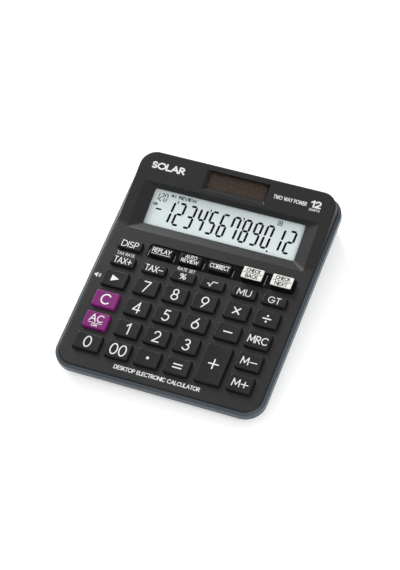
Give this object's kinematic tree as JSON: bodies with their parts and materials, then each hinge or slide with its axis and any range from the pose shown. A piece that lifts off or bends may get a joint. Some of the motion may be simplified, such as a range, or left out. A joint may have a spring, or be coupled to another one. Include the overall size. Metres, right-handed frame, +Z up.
{
  "type": "desktop calculator",
  "caption": "Desktop calculator with a sloping key panel, a tilted recessed display, a small solar window, sprung push keys, a belly tray on rubber feet and a screwed battery lid.",
  "frame": {"origin": "middle of the case's outline, on the surface that the feet stand on", "axes": "+X to the user's right, +Y away from the user towards the display end, +Z up"},
  "size_m": [0.1264, 0.148, 0.0284],
  "materials": {
    "cover_dark": "fine matt texture",
    "tray_grey": "satin blue-grey",
    "band_gloss": "gloss",
    "clear_window": "clear",
    "lcd_glass": "clear",
    "reflector": "satin foil",
    "holder_white": "satin",
    "screw_steel": "zinc plated",
    "flex_film": "satin film",
    "solar_glass": "gloss",
    "mat_rubber": "matt",
    "pill_carbon": "matt",
    "board_green": "solder resist",
    "potting_black": "gloss",
    "component_can": "satin",
    "buzzer_brass": "plain",
    "cell_steel": "plain",
    "contact_nickel": "nickel plated",
    "wire_sleeve": "satin",
    "feet_rubber": "matt",
    "key_dark": "satin",
    "key_magenta": "gloss",
    "key_gloss": "gloss",
    "key_pale": "satin",
    "ink_white": "printed ink",
    "ink_dark": "printed ink"
  },
  "bodies": {
    "case": {"top_cover": "cover_dark", "bottom_cover": "tray_grey", "key_band": "band_gloss", "display_window": "clear_window", "lcd_panel": "lcd_glass", "lcd_reflector": "reflector", "lcd_holder": "holder_white", "lcd_holder_screws": "screw_steel", "lcd_flex_cable": "flex_film", "solar_window": "clear_window", "solar_cell": "solar_glass", "key_mat": "mat_rubber", "contact_pills": "pill_carbon", "circuit_board": "board_green", "circuit_board_screws": "screw_steel", "chip_cap": "potting_black", "board_components": "component_can", "piezo_buzzer": "buzzer_brass", "button_cell": "cell_steel", "battery_contacts": "contact_nickel", "internal_wires": "wire_sleeve", "battery_lid": "tray_grey", "battery_lid_screw": "screw_steel", "case_screws": "screw_steel", "rubber_feet": "feet_rubber"},
    "key_0": {"key_0": "key_dark"},
    "key_00": {"key_00": "key_dark"},
    "key_point": {"key_point": "key_dark"},
    "key_equals": {"key_equals": "key_dark"},
    "key_memory_plus": {"key_memory_plus": "key_dark"},
    "key_all_clear": {"key_all_clear": "key_magenta"},
    "key_1": {"key_1": "key_dark"},
    "key_2": {"key_2": "key_dark"},
    "key_3": {"key_3": "key_dark"},
    "key_memory_minus": {"key_memory_minus": "key_dark"},
    "key_clear": {"key_clear": "key_magenta"},
    "key_4": {"key_4": "key_dark"},
    "key_5": {"key_5": "key_dark"},
    "key_6": {"key_6": "key_dark"},
    "key_minus": {"key_minus": "key_dark"},
    "key_memory_recall": {"key_memory_recall": "key_dark"},
    "key_delete": {"key_delete": "key_dark"},
    "key_7": {"key_7": "key_dark"},
    "key_8": {"key_8": "key_dark"},
    "key_9": {"key_9": "key_dark"},
    "key_multiply": {"key_multiply": "key_dark"},
    "key_divide": {"key_divide": "key_dark"},
    "key_tax_plus": {"key_tax_plus": "key_dark"},
    "key_tax_minus": {"key_tax_minus": "key_dark"},
    "key_percent": {"key_percent": "key_dark"},
    "key_root": {"key_root": "key_dark"},
    "key_markup": {"key_markup": "key_dark"},
    "key_grand_total": {"key_grand_total": "key_dark"},
    "key_display": {"key_display": "key_dark"},
    "key_replay": {"key_replay": "key_gloss"},
    "key_auto": {"key_auto": "key_gloss"},
    "key_correct": {"key_correct": "key_gloss"},
    "key_check_back": {"key_check_back": "key_gloss"},
    "key_check_next": {"key_check_next": "key_gloss"},
    "key_plus": {"key_plus": "key_dark"}
  },
  "joints": [
    {"name": "key_0_press", "type": "slide", "parent": "case", "child": "key_0", "axis": [0, 0.0748, -0.9972], "range_m": [0, 0.0012], "stiffness_N_per_m": 400, "springref_m": -0.0008, "deforming": ["key_mat"]},
    {"name": "key_00_press", "type": "slide", "parent": "case", "child": "key_00", "axis": [0, 0.0748, -0.9972], "range_m": [0, 0.0012], "stiffness_N_per_m": 400, "springref_m": -0.0008, "deforming": ["key_mat"]},
    {"name": "key_point_press", "type": "slide", "parent": "case", "child": "key_point", "axis": [0, 0.0748, -0.9972], "range_m": [0, 0.0012], "stiffness_N_per_m": 400, "springref_m": -0.0008, "deforming": ["key_mat"]},
    {"name": "key_equals_press", "type": "slide", "parent": "case", "child": "key_equals", "axis": [0, 0.0748, -0.9972], "range_m": [0, 0.0012], "stiffness_N_per_m": 400, "springref_m": -0.0008, "deforming": ["key_mat"]},
    {"name": "key_memory_plus_press", "type": "slide", "parent": "case", "child": "key_memory_plus", "axis": [0, 0.0748, -0.9972], "range_m": [0, 0.0012], "stiffness_N_per_m": 400, "springref_m": -0.0008, "deforming": ["key_mat"]},
    {"name": "key_all_clear_press", "type": "slide", "parent": "case", "child": "key_all_clear", "axis": [0, 0.0748, -0.9972], "range_m": [0, 0.0012], "stiffness_N_per_m": 400, "springref_m": -0.0008, "deforming": ["key_mat"]},
    {"name": "key_1_press", "type": "slide", "parent": "case", "child": "key_1", "axis": [0, 0.0748, -0.9972], "range_m": [0, 0.0012], "stiffness_N_per_m": 400, "springref_m": -0.0008, "deforming": ["key_mat"]},
    {"name": "key_2_press", "type": "slide", "parent": "case", "child": "key_2", "axis": [0, 0.0748, -0.9972], "range_m": [0, 0.0012], "stiffness_N_per_m": 400, "springref_m": -0.0008, "deforming": ["key_mat"]},
    {"name": "key_3_press", "type": "slide", "parent": "case", "child": "key_3", "axis": [0, 0.0748, -0.9972], "range_m": [0, 0.0012], "stiffness_N_per_m": 400, "springref_m": -0.0008, "deforming": ["key_mat"]},
    {"name": "key_memory_minus_press", "type": "slide", "parent": "case", "child": "key_memory_minus", "axis": [0, 0.0748, -0.9972], "range_m": [0, 0.0012], "stiffness_N_per_m": 400, "springref_m": -0.0008, "deforming": ["key_mat"]},
    {"name": "key_clear_press", "type": "slide", "parent": "case", "child": "key_clear", "axis": [0, 0.0748, -0.9972], "range_m": [0, 0.0012], "stiffness_N_per_m": 400, "springref_m": -0.0008, "deforming": ["key_mat"]},
    {"name": "key_4_press", "type": "slide", "parent": "case", "child": "key_4", "axis": [0, 0.0748, -0.9972], "range_m": [0, 0.0012], "stiffness_N_per_m": 400, "springref_m": -0.0008, "deforming": ["key_mat"]},
    {"name": "key_5_press", "type": "slide", "parent": "case", "child": "key_5", "axis": [0, 0.0748, -0.9972], "range_m": [0, 0.0012], "stiffness_N_per_m": 400, "springref_m": -0.0008, "deforming": ["key_mat"]},
    {"name": "key_6_press", "type": "slide", "parent": "case", "child": "key_6", "axis": [0, 0.0748, -0.9972], "range_m": [0, 0.0012], "stiffness_N_per_m": 400, "springref_m": -0.0008, "deforming": ["key_mat"]},
    {"name": "key_minus_press", "type": "slide", "parent": "case", "child": "key_minus", "axis": [0, 0.0748, -0.9972], "range_m": [0, 0.0012], "stiffness_N_per_m": 400, "springref_m": -0.0008, "deforming": ["key_mat"]},
    {"name": "key_memory_recall_press", "type": "slide", "parent": "case", "child": "key_memory_recall", "axis": [0, 0.0748, -0.9972], "range_m": [0, 0.0012], "stiffness_N_per_m": 400, "springref_m": -0.0008, "deforming": ["key_mat"]},
    {"name": "key_delete_press", "type": "slide", "parent": "case", "child": "key_delete", "axis": [0, 0.0748, -0.9972], "range_m": [0, 0.0012], "stiffness_N_per_m": 400, "springref_m": -0.0008, "deforming": ["key_mat"]},
    {"name": "key_7_press", "type": "slide", "parent": "case", "child": "key_7", "axis": [0, 0.0748, -0.9972], "range_m": [0, 0.0012], "stiffness_N_per_m": 400, "springref_m": -0.0008, "deforming": ["key_mat"]},
    {"name": "key_8_press", "type": "slide", "parent": "case", "child": "key_8", "axis": [0, 0.0748, -0.9972], "range_m": [0, 0.0012], "stiffness_N_per_m": 400, "springref_m": -0.0008, "deforming": ["key_mat"]},
    {"name": "key_9_press", "type": "slide", "parent": "case", "child": "key_9", "axis": [0, 0.0748, -0.9972], "range_m": [0, 0.0012], "stiffness_N_per_m": 400, "springref_m": -0.0008, "deforming": ["key_mat"]},
    {"name": "key_multiply_press", "type": "slide", "parent": "case", "child": "key_multiply", "axis": [0, 0.0748, -0.9972], "range_m": [0, 0.0012], "stiffness_N_per_m": 400, "springref_m": -0.0008, "deforming": ["key_mat"]},
    {"name": "key_divide_press", "type": "slide", "parent": "case", "child": "key_divide", "axis": [0, 0.0748, -0.9972], "range_m": [0, 0.0012], "stiffness_N_per_m": 400, "springref_m": -0.0008, "deforming": ["key_mat"]},
    {"name": "key_tax_plus_press", "type": "slide", "parent": "case", "child": "key_tax_plus", "axis": [0, 0.0748, -0.9972], "range_m": [0, 0.0012], "stiffness_N_per_m": 400, "springref_m": -0.0008, "deforming": ["key_mat"]},
    {"name": "key_tax_minus_press", "type": "slide", "parent": "case", "child": "key_tax_minus", "axis": [0, 0.0748, -0.9972], "range_m": [0, 0.0012], "stiffness_N_per_m": 400, "springref_m": -0.0008, "deforming": ["key_mat"]},
    {"name": "key_percent_press", "type": "slide", "parent": "case", "child": "key_percent", "axis": [0, 0.0748, -0.9972], "range_m": [0, 0.0012], "stiffness_N_per_m": 400, "springref_m": -0.0008, "deforming": ["key_mat"]},
    {"name": "key_root_press", "type": "slide", "parent": "case", "child": "key_root", "axis": [0, 0.0748, -0.9972], "range_m": [0, 0.0012], "stiffness_N_per_m": 400, "springref_m": -0.0008, "deforming": ["key_mat"]},
    {"name": "key_markup_press", "type": "slide", "parent": "case", "child": "key_markup", "axis": [0, 0.0748, -0.9972], "range_m": [0, 0.0012], "stiffness_N_per_m": 400, "springref_m": -0.0008, "deforming": ["key_mat"]},
    {"name": "key_grand_total_press", "type": "slide", "parent": "case", "child": "key_grand_total", "axis": [0, 0.0748, -0.9972], "range_m": [0, 0.0012], "stiffness_N_per_m": 400, "springref_m": -0.0008, "deforming": ["key_mat"]},
    {"name": "key_display_press", "type": "slide", "parent": "case", "child": "key_display", "axis": [0, 0.0748, -0.9972], "range_m": [0, 0.0012], "stiffness_N_per_m": 400, "springref_m": -0.0008, "deforming": ["key_mat"]},
    {"name": "key_replay_press", "type": "slide", "parent": "case", "child": "key_replay", "axis": [0, 0.0748, -0.9972], "range_m": [0, 0.0012], "stiffness_N_per_m": 400, "springref_m": -0.0008, "deforming": ["key_mat"]},
    {"name": "key_auto_press", "type": "slide", "parent": "case", "child": "key_auto", "axis": [0, 0.0748, -0.9972], "range_m": [0, 0.0012], "stiffness_N_per_m": 400, "springref_m": -0.0008, "deforming": ["key_mat"]},
    {"name": "key_correct_press", "type": "slide", "parent": "case", "child": "key_correct", "axis": [0, 0.0748, -0.9972], "range_m": [0, 0.0012], "stiffness_N_per_m": 400, "springref_m": -0.0008, "deforming": ["key_mat"]},
    {"name": "key_check_back_press", "type": "slide", "parent": "case", "child": "key_check_back", "axis": [0, 0.0748, -0.9972], "range_m": [0, 0.0012], "stiffness_N_per_m": 400, "springref_m": -0.0008, "deforming": ["key_mat"]},
    {"name": "key_check_next_press", "type": "slide", "parent": "case", "child": "key_check_next", "axis": [0, 0.0748, -0.9972], "range_m": [0, 0.0012], "stiffness_N_per_m": 400, "springref_m": -0.0008, "deforming": ["key_mat"]},
    {"name": "key_plus_press", "type": "slide", "parent": "case", "child": "key_plus", "axis": [0, 0.0748, -0.9972], "range_m": [0, 0.0012], "stiffness_N_per_m": 400, "springref_m": -0.0008, "deforming": ["key_mat"]}
  ]
}
